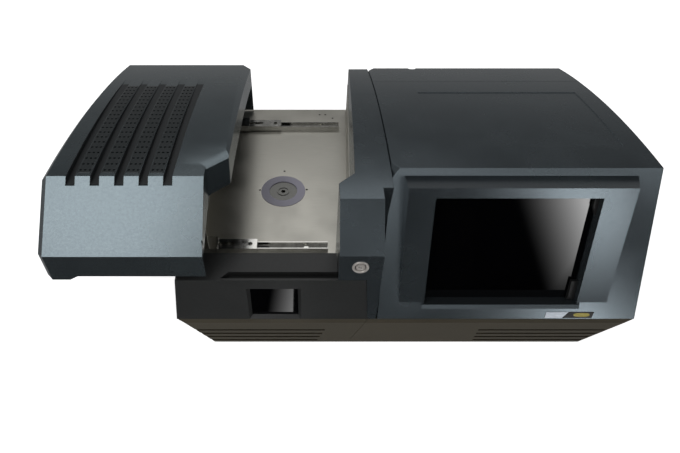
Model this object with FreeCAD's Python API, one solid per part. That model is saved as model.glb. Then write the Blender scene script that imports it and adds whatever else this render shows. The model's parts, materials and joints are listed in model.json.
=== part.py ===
"""Bench x-ray fluorescence analyzer with a sliding sample hood, modelled in millimetres.

Origin: middle of the whole outline with the hood open, at the surface that it stands on.
+X runs to the right along the front, +Y to the back, +Z up.
"""
import FreeCAD
import Part
import math
import os
from FreeCAD import Vector as V

# Overall size
base_width = 550.0
depth = 410.0
foot_height = 8.0
foot_radius = 16.0
foot_taper = 2.0
foot_inset = 28.0
plinth_height = 94.4
front_top = 252.6
middle_top = 227.2
back_top = 181.6
middle_from_back = 160.0
side_lean = 4.5
wall = 3.0
sheet = 1.5
play = 0.4
small_sides = 12

# Plinth: a bevelled belt at the top, drawn in below it
plinth_side_inset = 25.0
plinth_front_inset = 29.0
plinth_back_inset = 10.0
plinth_corner = 7.0
belt_height = 9.4
belt_side = 3.5
belt_front = 1.0
belt_corner = 4.0
top_corner = 1.0
seam_top_x = 226.8
seam_lean = 17.3
slot_first = 7.5
slot_height = 5.0
slot_pitch = 15.0
slot_count = 4
slot_lean_left = 0.1
slot_lean_right = 0.18
left_slots = (16.0, 168.0)
right_slots = (375.0, 519.0)
side_slots = (60.0, 150.0)

# Sample bay: stage, parapet and front panel
stage_top = 104.0
stage_sheet = 2.0
stage_front = 41.0
bay_width_front = 189.9
column_jog = 18.2
column_jog_start = 68.0
bay_drift = 0.036
parapet_top = 168.0
parapet_front = 12.0
parapet_back = 40.0
parapet_foot = 58.6
parapet_slant = 9.0
panel_lean = 9.1
panel_seam_shift = 6.0
groove_floor = 160.0
vent_count = 9
vent_pitch = 11.5
vent_start = 22.0
vent_radius = 1.5
aperture_x = 121.4
aperture_from_back = 197.0
ring_radius = 31.3
ring_flange = 7.0
ring_step = 1.0
flange_sheet = 1.5
ring_rise = 0.6
disc_radius = 19.7
spout_radius = 8.5
spout_wall = 1.5
spout_rise = 0.9
spout_bore = 3.0
stage_screw_radius = 1.6
stage_screw_length = 5.0
window_x = 90.4
window_width = 54.6
window_height = 53.5
window_foot = 3.1
window_recess = 5.0
window_border = 6.0
window_flare = 3.5

# Column between bay and housing
column_front_width = 47.5
column_gap = 1.2
column_shoulder = 208.6
column_slope = 41.5
column_drop = 4.0
column_drop_back = 1.5
column_seam_from_back = 122.0
channel_depth = 60.0
lining_height = 58.0
lining_sheet = 1.0
button_from_left = 23.1
button_height = 190.8
button_radius = 9.2
button_cap_radius = 5.0
button_thread = 7.9
button_gap = 1.2
button_rise = 1.5
button_sleeve = 12.0
button_length = 16.0
button_travel = 1.6
terminal_spread = 4.0

# Right housing and its screen
housing_draft = 0.062
housing_turn = 0.014
slope_top = 90.8
housing_seam_from_back = 73.0
corner_across = 9.1
corner_down = 12.1
corner_back = 12.0
rear_corner_back = 15.0
notch_radius = 6.0
notch_from_left = 79.7
notch_deep = 10.0
recess_from_left = 69.0
recess_width = 216.0
recess_start = 136.0
recess_end_from_back = 120.0
recess_deep = 0.8
screen_tilt = 17.4
screen_foot_y = 6.0
screen_foot_z = 98.0
screen_x = 383.9
opening_width = 180.6
opening_low = 13.2
opening_high = 152.6
bezel_left = 263.6
bezel_right = 509.3
bezel_top = 164.5
bezel_low = 15.0
bezel_flare = 0.43
bezel_reach = 40.0
sill_reach = 3.2
sill_height = 4.5
screen_recess = 14.0
lcd_width = 203.0
lcd_height = 142.0
lcd_sheet = 2.0
lcd_thickness = 7.0
lcd_drop = 2.0
lcd_clearance = 3.0
bracket_border = 8.0

# Hood
hood_travel = 140.6
hood_inset_closed = 8.2
hood_gap_front = 4.7
hood_reach = 4.4
hood_lift = 6.0
hood_band_low = 175.0
hood_band_high = 207.7
hood_slope_top = 68.5
hood_jog_start = 85.3
hood_jog_lean = 0.247
hood_foot_low = 169.2
hood_foot_width = 27.2
hood_foot_slant = 9.3
hood_taper = 5.6
hood_chamfer = 7.5
hood_rim = 36.0
hood_from_back = 1.0
hood_tip = 11.0
hood_tip_deep = 14.0
hood_bottom = 106.5
hood_heel = 21.0
edge_start = 3.2
edge_drift = 0.023
edge_slope = 0.7
jog_bevel = 12.7
jog_drop = 3.5
groove_count = 5
groove_pitch = 26.1
groove_first = 34.3
groove_width = 10.0
groove_depth = 7.7
groove_start = 30.0
groove_end_from_back = 80.0
grille_width = 15.0
grille_start = 74.0
grille_end_from_back = 110.0
grille_sheet = 1.6
boss_radius = 6.0
boss_inset = 40.0
boss_from_back = 90.0

# Slides: a fixed, a middle and an outer member, lying flat
slide_length = 150.0
middle_length = 130.0
slide_front_y = 103.5
slide_rear_from_back = 49.5
slide_end_gap = 7.7
slide_step = 5.3
fixed_width = 12.0
fixed_height = 7.0
fixed_sheet = 1.2
screw_radius = 1.7
screw_head_radius = 3.0
screw_head_height = 1.8
screw_length = 6.0
screw_from_end = 28.0
screw_from_start = 20.0
member_gap = 0.8
member_wall = 1.6
middle_lap = 58.65
outer_lap = 80.0
middle_slot_from_end = 40.0
middle_slot_half = 9.0
middle_slot_radius = 2.5
middle_hole_radius = 3.2
lever_length = 16.0
lever_half_width = 2.6

# Liner inside the hood
liner_top = 160.0
liner_left = 28.0
liner_right = 14.0
liner_margin = 11.0
liner_screw_radius = 3.5
liner_screw_height = 2.0
magnet_length = 16.0
magnet_width = 6.0
switch_size = 11.5
switch_gap = 2.5

# Back panel and what sits in it
panel_inset = 3.0
panel_below_top = 8.0
socket_level = 36.0
inlet_from_left = 48.0
inlet_width = 28.0
inlet_height = 24.0
inlet_deep = 22.0
inlet_flange = 11.0
rocker_from_inlet = 50.0
rocker_width = 20.0
rocker_height = 28.0
rocker_pin_radius = 1.5
rocker_depth = 5.0
ports_from_rocker = 40.0
ports_width = 40.0
ports_height = 18.0
usb_width = 12.0
usb_height = 5.2
usb_offset = 4.4
network_width = 8.5
network_height = 13.0
shaft_play = 0.05
fan_size = 60.0
fan_deep = 15.0
fan_margin = 12.0
fan_level = 8.0
fan_hub = 10.0
fan_blades = 7
fan_pitch = 35.0
guard_sheet = 1.5
guard_bar = 2.0
guard_rings = (8.0, 15.0, 22.0)
guard_sides = 24

# Measuring module under the stage
tray_sheet = 2.0
tray_rim = 14.0
block_low = 52.0
block_high = 90.0
block_left = 46.0
block_right = 14.0
block_half = 40.0
beam_radius = 7.0
stand_sheet = 2.0
xray_radius = 17.0
xray_neck_radius = 11.0
xray_neck = 14.0
xray_offset = 14.0
detector_radius = 12.0
detector_neck = 30.0
detector_length = 46.0
detector_half = 21.0
camera_length = 22.0
camera_half = 14.0
wheel_radius = 40.0
wheel_hole_circle = 30.0
wheel_holes = 6
wheel_sheet = 3.0
wheel_level = 94.0
wheel_hub_radius = 6.0
wheel_hub_height = 2.5
motor_radius = 12.5
shaft_radius = 2.5

# Electronics on the floor tray
hv_left = 60.0
hv_width = 130.0
hv_front = 52.0
hv_deep = 32.0
hv_height = 60.0
supply_width = 100.0
supply_length = 98.0
supply_height = 42.0
supply_from_right = 50.0
supply_from_back = 22.0
board_width = 120.0
board_length = 200.0
board_sheet = 1.6
board_post = 8.0
board_from_back = 30.0
card_width = 100.0
card_length = 90.0
card_post = 6.0
card_front = 60.0
post_radius = 3.0
post_inset = 6.0

# Places that follow from the sizes above
hood_overhang = hood_travel - hood_inset_closed
total_width = base_width + hood_overhang
left = total_width / 2 - base_width
front = -depth / 2
floor = foot_height
belt_right = base_width - side_lean
housing_left = bay_width_front + column_front_width + column_gap
column_seam = depth - column_seam_from_back
housing_seam = depth - housing_seam_from_back
button_x = bay_width_front + button_from_left
aperture_y = depth - aperture_from_back
hood_wall_left = -hood_overhang
hood_right_front = bay_width_front - hood_gap_front - hood_travel
hood_right_rear = hood_right_front + column_jog + hood_reach
hood_back = depth - hood_from_back
slide_front_end = bay_width_front - slide_end_gap
slide_rear_y = depth - slide_rear_from_back
slide_shift = column_jog + slide_step
slide_seats = (("front", slide_front_y, 0.0), ("rear", slide_rear_y, slide_shift))
outer_top = stage_top + fixed_height + 2 * member_gap + 2 * member_wall
panel_back = depth - panel_inset
panel_front = panel_back - sheet
rocker_y = panel_back - rocker_depth
block_middle = (block_low + block_high) / 2
axle_x = aperture_x + wheel_hole_circle


def at(x, y=0.0, z=0.0):
    """Point measured from the base's left side, its front and the plinth's bottom."""
    return V(left + x, front + y, floor + z)


def box(x0, x1, y0, y1, z0, z1):
    """Box between distances from the left side, the front and the plinth's bottom."""
    return Part.makeBox(x1 - x0, y1 - y0, z1 - z0, at(x0, y0, z0))


def ring_wire(points):
    """Closed wire through points."""
    return Part.makePolygon(points + [points[0]])


def prism_x(outline, x0, x1):
    """Side outline of (y, z) points, drawn out along X."""
    wire = ring_wire([at(x0, y, z) for y, z in outline])
    return Part.Face(wire).extrude(V(x1 - x0, 0, 0))


def prism_y(outline, y0, y1, turn=0.0):
    """Front outline of (x, z) points, drawn out along Y; turn shifts it to the right per mm."""
    wire = ring_wire([at(x, y0, z) for x, z in outline])
    return Part.Face(wire).extrude(V(turn * (y1 - y0), y1 - y0, 0))


def prism_z(outline, z0, z1, lean=0.0):
    """Plan outline of (x, y) points, drawn out along Z; lean shifts it to the back per mm."""
    wire = ring_wire([at(x, y, z0) for x, y in outline])
    return Part.Face(wire).extrude(V(0, lean * (z1 - z0), z1 - z0))


def rod(radius, x, y, z, length, along=V(0, 0, 1)):
    """Cylinder that starts at a point and runs along a direction."""
    return Part.makeCylinder(radius, length, at(x, y, z), along)


def tube(radius, bore, x, y, z, length, along=V(0, 0, 1)):
    """Cylinder with a bore through it."""
    return rod(radius, x, y, z, length, along).cut(rod(bore, x, y, z, length, along))


def pin(radius, x, y, z, length, along=V(0, 0, 1), sides=small_sides):
    """Small round thing with flat sides, for screws, vents and posts."""
    turns = [2 * math.pi * i / sides for i in range(sides)]
    wire = ring_wire([V(radius * math.cos(t), radius * math.sin(t), 0) for t in turns])
    body = Part.Face(wire).extrude(V(0, 0, length))
    body.Placement = FreeCAD.Placement(at(x, y, z), FreeCAD.Rotation(V(0, 0, 1), along))
    return body


def fuse(shapes):
    """One solid from several that share faces or overlap."""
    body = shapes[0].fuse(shapes[1:])
    return body.removeSplitter()


def group(shapes):
    """Separate solids kept in one piece of the parts list."""
    return Part.makeCompound(shapes)


def save(name, shape):
    """Write one piece to parts/NAME.step."""
    shape.exportStep(os.path.join("parts", name + ".step"))


def roof_circle():
    """Centre (y, z) and radius of the arc that the housing's top follows from front to back."""
    ya, za, yb, zb, yc, zc = slope_top, front_top, depth - middle_from_back, middle_top, depth, back_top
    d = 2 * (ya * (zb - zc) + yb * (zc - za) + yc * (za - zb))
    sa, sb, sc = ya * ya + za * za, yb * yb + zb * zb, yc * yc + zc * zc
    cy = (sa * (zb - zc) + sb * (zc - za) + sc * (za - zb)) / d
    cz = (sa * (yc - yb) + sb * (ya - yc) + sc * (yb - ya)) / d
    return cy, cz, math.hypot(ya - cy, za - cz)


roof_y, roof_z, roof_radius = roof_circle()


def roof(y, lift=0.0):
    """Height of the roof arc at a distance from the front."""
    return roof_z + math.sqrt(roof_radius ** 2 - (y - roof_y) ** 2) + lift


def under_roof(lead, y0, y1, lift, low, x0, x1, lift_back=None):
    """Solid below the roof arc from y0 to y1: lead points up the front, arc on top, flat below."""
    back_lift = lift if lift_back is None else lift_back
    marks = [(y0, lift), ((y0 + y1) / 2, (lift + back_lift) / 2), (y1, back_lift)]
    ends = [at(x0, y, roof(y, up)) for y, up in marks]
    arc = Part.Arc(ends[0], ends[1], ends[2]).toShape()
    points = [ends[2], at(x0, y1, low)] + [at(x0, y, z) for y, z in lead] + [ends[0]]
    lines = [Part.makeLine(a, b) for a, b in zip(points, points[1:])]
    return Part.Face(Part.Wire([arc] + lines)).extrude(V(x1 - x0, 0, 0))


def roof_layer(x0, x1, y0, y1, low, high):
    """Layer that follows the roof between two lifts."""
    under = min(roof(y0), roof(y1)) - 50
    top = under_roof([(y0, under)], y0, y1, high, under, x0, x1)
    return top.cut(under_roof([(y0 - 1, under - 1)], y0 - 1, y1 + 1, low, under - 1, x0 - 1, x1 + 1))


def roof_cutter(marks, along):
    """Everything above an arc through three points, drawn out along a direction."""
    arc = Part.Arc(marks[0], marks[1], marks[2]).toShape()
    up = V(0, 0, front_top)
    points = [marks[2], marks[2] + up, marks[0] + up, marks[0]]
    lines = [Part.makeLine(a, b) for a, b in zip(points, points[1:])]
    return Part.Face(Part.Wire([arc] + lines)).extrude(along)


def cut_corners(x0, x1, y0, y1, c):
    """Plan of a rectangle with its four corners cut off."""
    return [(x0 + c, y0), (x1 - c, y0), (x1, y0 + c), (x1, y1 - c),
            (x1 - c, y1), (x0 + c, y1), (x0, y1 - c), (x0, y0 + c)]


def plinth_block(inset):
    """Plinth with its belt and its drawn-in foot; inset makes the inner one."""
    i = inset
    low = cut_corners(plinth_side_inset + i, base_width - plinth_side_inset - i,
                      plinth_front_inset + i, depth - plinth_back_inset - i, plinth_corner)
    belt = cut_corners(belt_side + i, belt_right - belt_side - i, belt_front + i, depth - belt_front - i, belt_corner)
    top = cut_corners(i, belt_right - i, i, depth - i, top_corner)
    levels = ((low, 0), (belt, plinth_height - belt_height), (top, plinth_height))
    return Part.makeLoft([ring_wire([at(x, y, z) for x, y in plan]) for plan, z in levels], True, True)


def plinth():
    """Undercut skirt in two mouldings that meet at a leaning seam, with cooling slots."""
    skirt = plinth_block(0).cut(plinth_block(wall))
    reach = plinth_front_inset + 2 * wall
    for i in range(slot_count):
        z0 = slot_first + slot_pitch * i
        for x0, x1 in (left_slots, right_slots):
            a, b = x0 - slot_lean_left * z0, x1 + slot_lean_right * z0
            skirt = skirt.cut(box(a, b, -1, reach, z0, z0 + slot_height))
        skirt = skirt.cut(box(base_width - plinth_side_inset - 2 * wall, base_width, side_slots[0],
                              side_slots[1], z0, z0 + slot_height))
    gap = play / 2
    high, low = seam_top_x, seam_top_x - seam_lean
    top = plinth_height + 1
    left_side = [(-1, -1), (low - gap, -1), (high - gap, top), (-1, top)]
    right_side = [(low + gap, -1), (base_width, -1), (base_width, top), (high + gap, top)]
    save("plinth_left", skirt.common(prism_y(left_side, -1, depth + 1)))
    save("plinth_right", skirt.common(prism_y(right_side, -1, depth + 1)))


def chassis():
    """Folded steel floor tray that carries the inside, and four rubber feet below it."""
    x0, x1 = plinth_side_inset + wall, base_width - plinth_side_inset - wall
    y0, y1 = plinth_front_inset + wall, depth - plinth_back_inset - wall
    t = tray_sheet
    outer = prism_z(cut_corners(x0, x1, y0, y1, plinth_corner), 0, tray_rim)
    inner = prism_z(cut_corners(x0 + t, x1 - t, y0 + t, y1 - t, plinth_corner), t, tray_rim)
    save("chassis_tray", outer.cut(inner))
    turns = [2 * math.pi * i / guard_sides for i in range(guard_sides)]
    feet = []
    for x in (x0 + foot_inset, x1 - foot_inset):
        for y in (y0 + foot_inset, y1 - foot_inset):
            rings = [ring_wire([at(x + r * math.cos(t), y + r * math.sin(t), z) for t in turns])
                     for r, z in ((foot_radius - foot_taper, -foot_height), (foot_radius, 0))]
            feet.append(Part.makeLoft(rings, True, True))
    save("rubber_feet", group(feet))


def slide_screw_places():
    """Where the fixed members are screwed down: two screws in each."""
    places = []
    for name, y, shift in slide_seats:
        end = slide_front_end + shift
        places += [(end - screw_from_end, y), (end - slide_length + screw_from_start, y)]
    return places


def screw_holes(shape, low, high):
    """Holes for the slides' screws between two heights."""
    for x, y in slide_screw_places():
        shape = shape.cut(pin(screw_radius + shaft_play, x, y, low, high - low))
    return shape


def deck_frame():
    """Open frame under the stage: side and back band, with ribs under the two slides."""
    inner = bay_width_front + column_front_width - wall - play
    low, high = plinth_height, stage_top - stage_sheet
    frame = box(0, inner, parapet_front, depth, low, high)
    void = box(wall, inner - wall, parapet_front + wall, depth - wall, low, high)
    rib = fixed_width / 2 + 2
    ribs = [box(wall, inner - wall, y - rib, y + rib, low, high) for name, y, shift in slide_seats]
    save("deck_frame", screw_holes(fuse([frame.cut(void)] + ribs), low - 1, high + 1))


def window_ring(grow, y):
    """Outline of the small window at a depth, grown outwards for its flare."""
    x0, x1 = window_x - grow, window_x + window_width + grow
    z0 = plinth_height + max(window_foot - grow, play)
    z1 = plinth_height + window_foot + window_height + grow / 2
    return ring_wire([at(x0, y, z0), at(x1, y, z0), at(x1, y, z1), at(x0, y, z1)])


def front_panel():
    """Front moulding below the deck, leaning in at its left end, with the small window."""
    low, high = plinth_height, parapet_top
    outline = [(0, low), (seam_top_x, low), (seam_top_x - panel_seam_shift, high), (panel_lean, high)]
    face = prism_y(outline, 0, wall)
    side = prism_y([(0, low), (wall, low), (panel_lean + wall, high), (panel_lean, high)], 0, parapet_back)
    side = side.cut(box(-1, wall + panel_lean, parapet_front, parapet_back + 1, low - 1, stage_top - stage_sheet))
    surround = box(window_x - window_border, window_x + window_width + window_border, 0, window_recess,
                   low, low + window_foot + window_height + window_border)
    opening = Part.makeLoft([window_ring(window_flare, -shaft_play), window_ring(0, window_recess + shaft_play)],
                            True, True)
    save("front_panel", fuse([face, side, surround]).cut(opening))


def front_deck():
    """Parapet in front of the stage: top, back wall, vented groove and the wider left foot."""
    x0, x1 = panel_lean + wall, bay_width_front - play
    under = groove_floor - wall
    top = box(x0, x1, parapet_front, parapet_back, parapet_top - wall, parapet_top)
    rear = box(x0, x1, parapet_back - wall, parapet_back, stage_top - stage_sheet, parapet_top)
    lip = box(x0, x1, parapet_front, parapet_front + wall, under, parapet_top)
    floor_strip = box(x0, x1, wall, parapet_front + wall, under, groove_floor)
    end = parapet_foot
    foot = prism_z([(x0, wall), (end, wall), (end + parapet_slant, parapet_front), (x0, parapet_front)],
                   groove_floor, parapet_top)
    body = fuse([top, rear, lip, floor_strip, foot])
    for i in range(vent_count):
        body = body.cut(pin(vent_radius, end + vent_start + vent_pitch * i, (wall + parapet_front) / 2,
                            under - 1, wall + 2))
    save("front_deck", body)


def stage_screw_places():
    """Screws of the sample ring and of the stage's rear edge, with the driver side up."""
    ring = [(aperture_x + 0.6, aperture_y + 42.8), (aperture_x + 33.5, aperture_y + 3.0),
            (aperture_x - 33.4, aperture_y + 2.0)]
    rear = [(bay_width_front - dx, depth - dy) for dx, dy in ((14.0, 14.0), (4.8, 14.0), (-6.8, 23.5))]
    return ring + rear


def bay_side(y):
    """Where the bay's right wall stands behind the jog: it draws away to the back."""
    return bay_width_front + column_jog + bay_drift * (y - column_jog_start - column_jog)


def stage_parts():
    """Stainless stage plate with its sample ring, aperture disc and countersunk screws."""
    low = stage_top - stage_sheet
    jog = column_jog_start + wall
    edge = bay_width_front - play
    outline = [(wall, stage_front), (edge, stage_front), (edge, jog), (edge + column_jog, jog + column_jog),
               (bay_side(depth) - play, depth), (wall, depth)]
    x, y = aperture_x, aperture_y
    plate = prism_z(outline, low, stage_top).cut(rod(ring_radius, x, y, low - 1, stage_sheet + 2))
    ring_low = low - ring_step
    flange_low = ring_low - flange_sheet
    ring = fuse([tube(ring_radius, disc_radius, x, y, ring_low, stage_top + ring_rise - ring_low),
                 tube(ring_radius + ring_flange, disc_radius, x, y, flange_low, flange_sheet + ring_step)])
    disc_top = stage_top - ring_rise
    disc = tube(disc_radius, spout_bore, x, y, flange_low, disc_top - flange_low)
    rim = tube(spout_radius, spout_radius - spout_wall, x, y, disc_top, spout_rise)
    save("aperture_disc", disc.fuse(rim).removeSplitter())
    screws = []
    for sx, sy in stage_screw_places():
        hole = pin(stage_screw_radius, sx, sy, stage_top - stage_screw_length - 1, stage_screw_length + 2)
        plate = plate.cut(hole)
        ring = ring.cut(hole)
        screws.append(pin(stage_screw_radius, sx, sy, stage_top - stage_screw_length, stage_screw_length - play))
    save("stage_ring", ring)
    save("stage_plate", screw_holes(plate, low - 1, stage_top + 1))
    save("stage_screws", group(screws))


def channel_up(width, height, thick, x0, length, y, z):
    """U-section with its web at the bottom."""
    outer = box(x0, x0 + length, y - width / 2, y + width / 2, z, z + height)
    return outer.cut(box(x0, x0 + length, y - width / 2 + thick, y + width / 2 - thick, z + thick, z + height))


def channel_down(width, z0, z1, thick, x0, length, y):
    """U-section with its web on top."""
    outer = box(x0, x0 + length, y - width / 2, y + width / 2, z0, z1)
    return outer.cut(box(x0, x0 + length, y - width / 2 + thick, y + width / 2 - thick, z0, z1 - thick))


def slide(name, y, shift):
    """One three-member slide, drawn out to the left as it is with the hood open."""
    fixed_end = slide_front_end + shift
    fixed = channel_up(fixed_width, fixed_height, fixed_sheet, fixed_end - slide_length, slide_length, y, stage_top)
    save("slide_fixed_" + name, screw_holes(fixed, stage_top - 1, stage_top + fixed_sheet + 1))
    side = member_gap + member_wall
    width = fixed_width + 2 * side
    skirt_low = stage_top + fixed_sheet
    web_high = stage_top + fixed_height + side
    middle_end = fixed_end - slide_length + middle_lap
    middle = channel_down(width, skirt_low, web_high, member_wall, middle_end - middle_length, middle_length, y)
    web_low = web_high - member_wall - 1
    thick = member_wall + 2
    slot_x = middle_end - middle_slot_from_end
    r, half = middle_slot_radius, middle_slot_half
    slot = fuse([box(slot_x - half, slot_x + half, y - r, y + r, web_low, web_low + thick),
                 pin(r, slot_x - half, y, web_low, thick), pin(r, slot_x + half, y, web_low, thick)])
    hole = pin(middle_hole_radius, middle_end - middle_slot_half, y, web_low, thick)
    save("slide_middle_" + name, middle.cut(slot).cut(hole))
    outer_end = middle_end - middle_length + outer_lap
    outer = channel_down(width + 2 * side, skirt_low + play, outer_top, member_wall,
                         outer_end - slide_length, slide_length, y)
    save("slide_outer_" + name, outer)
    tip = middle_end + play
    neck = tip + lever_length / 2
    half = lever_half_width
    return prism_z([(tip, y - half), (neck, y - half), (tip + lever_length, y), (neck, y + half), (tip, y + half)],
                   skirt_low, skirt_low + fixed_height / 2)


def slides():
    """Front and rear slide, their release levers and the screws that hold them down."""
    save("release_levers", group([slide(name, y, shift) for name, y, shift in slide_seats]))
    seat = stage_top + fixed_sheet
    screws = [fuse([pin(screw_head_radius, x, y, seat, screw_head_height),
                    pin(screw_radius, x, y, stage_top - screw_length, screw_length + fixed_sheet + 1)])
              for x, y in slide_screw_places()]
    save("slide_screws", group(screws))


def column_plan(inset=0.0):
    """Plan of the column: narrow in front beside the channel, wide behind the jog."""
    x0, x1 = bay_width_front + inset, bay_width_front + column_front_width - inset
    xb = housing_left + 2 * column_drop + wall * 4
    jog_end = column_jog_start + column_jog
    return [(x0, inset), (x1, inset), (x1, channel_depth + inset), (xb, channel_depth + inset), (xb, depth),
            (bay_side(depth) + inset, depth), (bay_side(jog_end) + inset, jog_end), (x0, column_jog_start)]


def column_solid(inset, low):
    """Column below its slope and roof, inset on every side for the inner wall."""
    x0, x1 = bay_width_front - 1, housing_left + 2 * column_drop + wall * 4
    y0 = column_slope + inset * 0.4
    lead = [(inset, low), (inset, column_shoulder - inset * 0.4)]
    body = under_roof(lead, y0, depth, -column_drop - inset, low, x0, x1, -column_drop_back - inset)
    body = body.common(prism_z(column_plan(inset), low, front_top + 1))
    return body.cut(beyond_left_face(-play - inset, low))


def left_face(z, y=0.0):
    """Where the housing's leaning left face stands at a height and a depth."""
    return housing_left + (z - plinth_height) * housing_draft + housing_turn * y


def beyond_left_face(offset, low):
    """Everything to the right of the housing's left face, moved by an offset."""
    high = front_top + foot_height
    side = [(left_face(low - 1, -1) + offset, low - 1), (base_width + depth, low - 1),
            (base_width + depth, high), (left_face(high, -1) + offset, high)]
    return prism_y(side, -1, depth + 1, housing_turn)


def beyond_right_face(offset, low):
    """Everything to the right of the housing's leaning right face, moved in by an offset."""
    slant = side_lean / (front_top - plinth_height)
    high = front_top + foot_height
    side = [(belt_right - offset + slant * (low - 1 - plinth_height), low - 1), (base_width + depth, low - 1),
            (base_width + depth, high), (belt_right - offset + slant * (high - plinth_height), high)]
    return prism_y(side, -1, depth + 1)


def column():
    """Column cover with its rear cap, the steel lining of the bay and the button's hole."""
    low, lower = plinth_height, parapet_top
    block = column_solid(0, lower).cut(column_solid(wall, lower - 1))
    edge = bay_width_front + column_front_width
    jog_end = column_jog_start + column_jog
    far = left_face(lower + 1, depth)
    leg = prism_y([(seam_top_x + play, low), (edge, low), (edge, lower + 1),
                   (seam_top_x - panel_seam_shift + play, lower + 1)], 0, wall)
    beyond = beyond_left_face(-play, low - 1)
    channel = [box(edge - wall, edge, wall - shaft_play, channel_depth + wall, low, lower + 1),
               box(edge - wall, far, channel_depth, channel_depth + wall, low, lower + 1).cut(beyond)]
    back_wall = box(bay_side(depth), far, depth - wall, depth, stage_top - stage_sheet, lower + 1).cut(beyond)
    line = [(bay_width_front, column_jog_start), (bay_side(jog_end), jog_end), (bay_side(depth), depth)]
    bay_wall = prism_z([(bay_width_front, wall), (bay_width_front + wall, wall)]
                       + [(x + wall, y) for x, y in line] + line[::-1], stage_top - stage_sheet, lower + 1)
    cover = fuse([block, leg, bay_wall, back_wall] + channel)
    cover = cover.cut(rod(button_thread, button_x, -1, button_height, wall + 2, V(0, 1, 0)))
    save("column_cover", cover.common(box(-1, base_width, -1, column_seam, 0, front_top)))
    save("column_rear_cap", cover.common(box(-1, base_width, column_seam + play, depth + 1, 0, front_top)))
    y0, y1 = jog_end + wall, depth - 5 * wall
    strip = [(bay_side(y0), y0), (bay_side(y1), y1)]
    lining = prism_z(strip + [(x - lining_sheet, y) for x, y in strip[::-1]], stage_top, stage_top + lining_height)
    save("column_lining", lining)


def button():
    """Round push button: bezel ring in the column's front, threaded body behind, sprung cap."""
    into = V(0, 1, 0)
    x, z = button_x, button_height
    bore = button_cap_radius + button_gap / 2
    bezel = fuse([tube(button_radius, bore + button_gap / 2, x, -button_rise, z, button_rise, into),
                  tube(button_thread, bore, x, 0, z, button_sleeve, into)])
    save("button_bezel", bezel)
    end = button_sleeve + button_length
    terminals = [box(x + dx - 1, x + dx + 1, end, end + 5, z - 2, z + 2) for dx in (-terminal_spread, terminal_spread)]
    save("button_body", fuse([rod(button_thread, x, button_sleeve, z, button_length, into)] + terminals))
    nut = pin(button_thread + wall, x, wall, z, wall, into, 6).cut(rod(button_thread, x, wall, z, wall, into))
    save("button_nut", nut)
    skirt = 6.0
    stem = button_sleeve - skirt + button_rise / 2 - button_travel
    cap = fuse([rod(button_cap_radius, x, -button_rise / 2, z, skirt, into),
                rod(button_cap_radius / 2, x, skirt - button_rise / 2, z, stem - play, into)])
    save("start_button", cap)


def corner_wedge(corner, tips, scale):
    """Solid outside the plane through three points near a corner; scale moves the plane inward."""
    far = [corner + (tip - corner) * scale for tip in tips]
    middle = (far[0] + far[1] + far[2]) * (1 / 3)
    return Part.Face(ring_wire(far)).extrude((corner - middle) * 2)


def corner_cuts(inset):
    """Facets at the housing's top left corners, front and back; inset moves them inward."""
    scale = 1 + inset / 6
    z = front_top
    run = slope_top / (front_top - plinth_height)
    drop = corner_down / math.hypot(1, run)
    y_low, y_back = slope_top - run * drop, slope_top + corner_back
    front_tips = [at(left_face(z, slope_top) + corner_across, slope_top, z),
                  at(left_face(z - drop, y_low), y_low, z - drop),
                  at(left_face(roof(y_back), y_back), y_back, roof(y_back))]
    y_in = depth - rear_corner_back
    rear_tips = [at(left_face(back_top, depth) + corner_across, depth, back_top),
                 at(left_face(back_top - corner_down, depth), depth, back_top - corner_down),
                 at(left_face(roof(y_in), y_in), y_in, roof(y_in))]
    return [corner_wedge(at(left_face(z, slope_top), slope_top, z), front_tips, scale),
            corner_wedge(at(left_face(back_top, depth), depth, back_top), rear_tips, scale)]


def housing_solid(inset, low):
    """Right housing: sloping front, arched roof, leaning sides."""
    run = slope_top / (front_top - plinth_height)
    shift = inset * math.hypot(1, run)
    lead = [(shift + (low - plinth_height) * run, low)]
    body = under_roof(lead, slope_top + inset * 0.35, depth, -inset, low, housing_left - 1, base_width)
    body = body.common(beyond_left_face(inset, low)).cut(beyond_right_face(inset, low))
    for wedge in corner_cuts(inset):
        body = body.cut(wedge)
    return body


def on_screen(shape):
    """Lean a shape built upright at the screen's foot back to the screen's tilt."""
    turned = shape.copy()
    turned.rotate(at(0, screen_foot_y, screen_foot_z), V(1, 0, 0), -screen_tilt)
    return turned


def screen_box(x0, x1, d0, d1, v0, v1):
    """Box in screen measures: across, depth behind the bezel's face, height up the face."""
    y, z = screen_foot_y, screen_foot_z
    return on_screen(box(x0, x1, y + d0, y + d1, z + v0, z + v1))


def housing():
    """Front housing and rear cap with the screen's opening, top recess and finger notch."""
    shell = housing_solid(0, plinth_height).cut(housing_solid(wall, plinth_height - 1))
    half = lcd_width / 2 + lcd_clearance
    sleeve = opening_width / 2 + wall
    reach = bezel_reach + 2 * screen_recess
    step = bezel_low + wall
    shell = shell.cut(screen_box(screen_x - half, screen_x + half, -reach, reach, step, bezel_top - 2 * wall))
    shell = shell.cut(screen_box(screen_x - sleeve, screen_x + sleeve, -reach, reach, opening_low - wall, step))
    x0 = housing_left + recess_from_left
    shell = shell.cut(roof_layer(x0, x0 + recess_width, recess_start, depth - recess_end_from_back,
                                 -recess_deep, recess_deep))
    shell = shell.cut(box(housing_left, base_width, depth - sheet, depth + 1, plinth_height - 1, back_top - 2 * wall))
    notch = pin(notch_radius, housing_left + notch_from_left, depth, back_top - notch_deep, 2 * notch_deep)
    rear = shell.common(box(0, base_width, housing_seam + play, depth + 1, 0, front_top))
    save("housing_shell", shell.common(box(0, base_width, -1, housing_seam, 0, front_top + 1)))
    save("housing_rear_cap", rear.cut(notch))


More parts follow.
